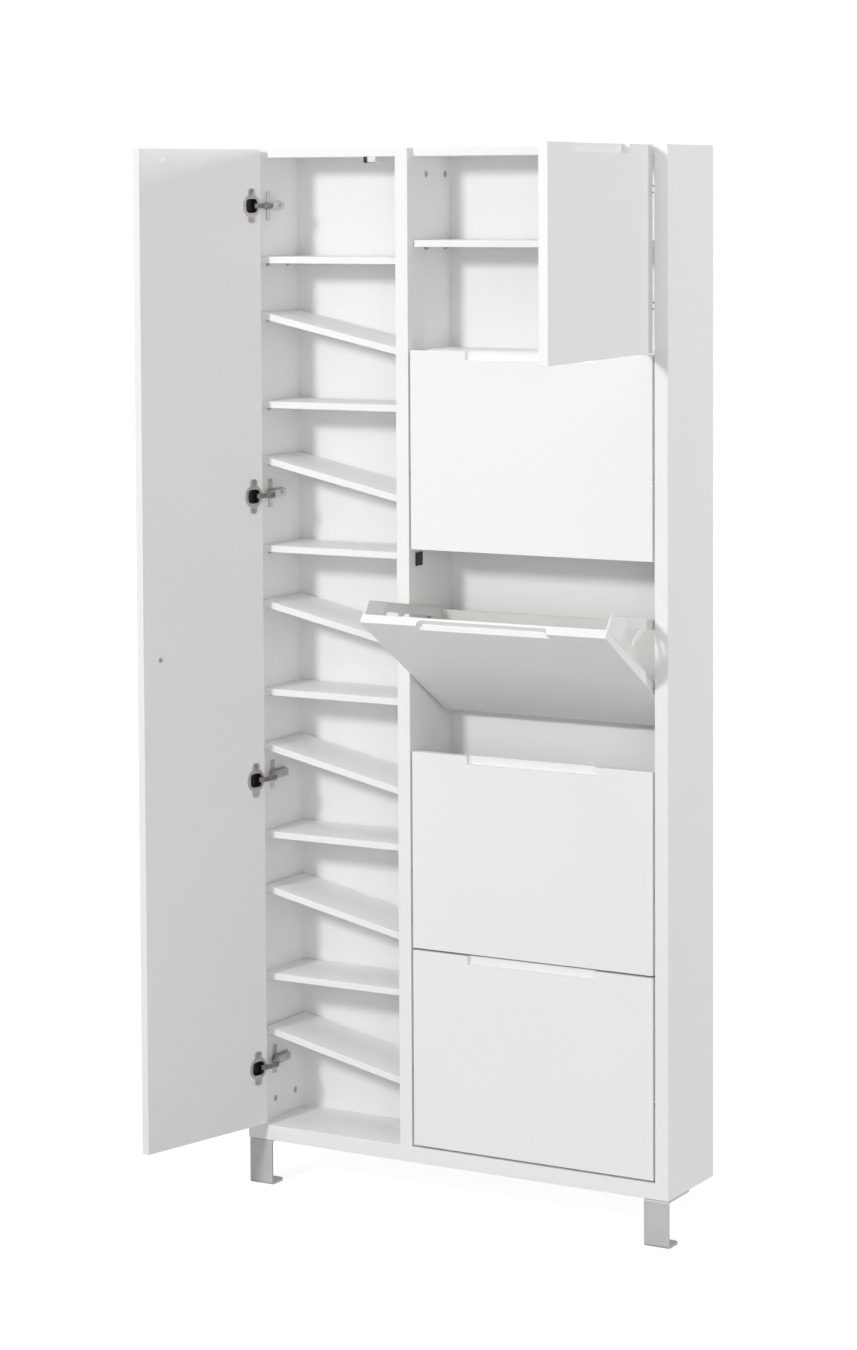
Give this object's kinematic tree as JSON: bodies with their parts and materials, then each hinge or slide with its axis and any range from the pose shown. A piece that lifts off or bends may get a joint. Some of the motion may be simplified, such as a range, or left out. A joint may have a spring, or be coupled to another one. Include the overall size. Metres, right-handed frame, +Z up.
{
  "type": "shoe cabinet",
  "caption": "Tall slim white wall cabinet for shoes: a full-height door over level and sloping shelves, a small door over a shelved space, and tilting flap bins below it.",
  "frame": {"origin": "in the plane of the wall, at mid-width, level with the underside of the carcass's bottom board", "axes": "+X to the right seen from the room, +Y from the room into the wall, +Z up"},
  "size_m": [0.9274, 0.653, 1.884],
  "materials": {
    "white_board": "white melamine-faced chipboard, satin, finely grained",
    "back_board": "white lacquered hardboard, satin",
    "steel": "nickel-plated steel, satin",
    "silver_paint": "silver-grey powder coat on bent steel strip",
    "zinc": "die-cast zinc, dull",
    "knob_metal": "satin nickel",
    "white_plastic": "white moulded plastic, fine texture",
    "tray_plastic": "off-white moulded plastic, satin",
    "black_plastic": "black moulded plastic, satin"
  },
  "bodies": {
    "carcass": {"side_panel_left": "white_board", "side_panel_right": "white_board", "divider": "white_board", "bottom_board": "white_board", "top_board_left": "white_board", "top_board_right": "white_board", "compartment_floor": "white_board", "back_panel_left": "back_board", "back_panel_right": "back_board", "cam_locks": "zinc", "shelf_01_level": "white_board", "shelf_02_sloping": "white_board", "shelf_03_level": "white_board", "shelf_04_sloping": "white_board", "shelf_05_level": "white_board", "shelf_06_sloping": "white_board", "shelf_07_level": "white_board", "shelf_08_sloping": "white_board", "shelf_09_level": "white_board", "shelf_10_sloping": "white_board", "shelf_11_level": "white_board", "shelf_12_sloping": "white_board", "small_shelf": "white_board", "shelf_pegs": "steel", "foot_left": "silver_paint", "foot_right": "silver_paint", "wall_brackets": "steel", "steel_screws": "steel", "hinge_plates": "steel", "hinge_arms": "steel", "magnetic_catch": "white_plastic", "flap_bushes": "white_plastic", "flap_stop_pegs": "white_plastic", "flap_catches": "black_plastic"},
    "tall_door": {"tall_door": "white_board", "tall_door_knob": "knob_metal", "tall_door_screws": "steel", "tall_hinge_cups": "steel", "strike_plate": "steel"},
    "tall_door_links": {"tall_hinge_links": "steel"},
    "small_door": {"small_door": "white_board", "small_door_screws": "steel", "small_hinge_cups": "steel"},
    "small_door_links": {"small_hinge_links": "steel"},
    "flap_1": {"flap_1_front": "white_board", "flap_1_cheeks": "white_plastic", "flap_1_tray": "tray_plastic", "flap_1_pins_and_screws": "steel"},
    "flap_2": {"flap_2_front": "white_board", "flap_2_cheeks": "white_plastic", "flap_2_tray": "tray_plastic", "flap_2_pins_and_screws": "steel"},
    "flap_3": {"flap_3_front": "white_board", "flap_3_cheeks": "white_plastic", "flap_3_tray": "tray_plastic", "flap_3_pins_and_screws": "steel"},
    "flap_4": {"flap_4_front": "white_board", "flap_4_cheeks": "white_plastic", "flap_4_tray": "tray_plastic", "flap_4_pins_and_screws": "steel"}
  },
  "joints": [
    {"name": "tall_door_hinge", "type": "hinge", "parent": "carcass", "child": "tall_door", "pos_m": [-0.397, -0.18, 0.9], "axis": [0, 0, 1], "range_deg": [0, 104]},
    {"name": "tall_door_link_pivot", "type": "hinge", "parent": "carcass", "child": "tall_door_links", "pos_m": [-0.377, -0.158, 0.9], "axis": [0, 0, 1], "range_deg": [-1, 104]},
    {"name": "small_door_hinge", "type": "hinge", "parent": "carcass", "child": "small_door", "pos_m": [0.397, -0.18, 1.625], "axis": [0, 0, 1], "range_deg": [-96, 0]},
    {"name": "small_door_link_pivot", "type": "hinge", "parent": "carcass", "child": "small_door_links", "pos_m": [0.377, -0.158, 1.625], "axis": [0, 0, 1], "range_deg": [-96, 1]},
    {"name": "flap_1_tilt", "type": "hinge", "parent": "carcass", "child": "flap_1", "pos_m": [0.16, -0.172, 0.168], "axis": [1, 0, 0], "range_deg": [0, 57.4]},
    {"name": "flap_2_tilt", "type": "hinge", "parent": "carcass", "child": "flap_2", "pos_m": [0.16, -0.172, 0.5224], "axis": [1, 0, 0], "range_deg": [0, 57.4]},
    {"name": "flap_3_tilt", "type": "hinge", "parent": "carcass", "child": "flap_3", "pos_m": [0.16, -0.172, 0.8768], "axis": [1, 0, 0], "range_deg": [-57.4, 0]},
    {"name": "flap_4_tilt", "type": "hinge", "parent": "carcass", "child": "flap_4", "pos_m": [0.16, -0.172, 1.2312], "axis": [1, 0, 0], "range_deg": [0, 57.4]}
  ],
  "couplings": [
    {"joint": "tall_door_link_pivot", "follows": "tall_door_hinge", "ratio": 0.981},
    {"joint": "small_door_link_pivot", "follows": "small_door_hinge", "ratio": 0.981}
  ]
}
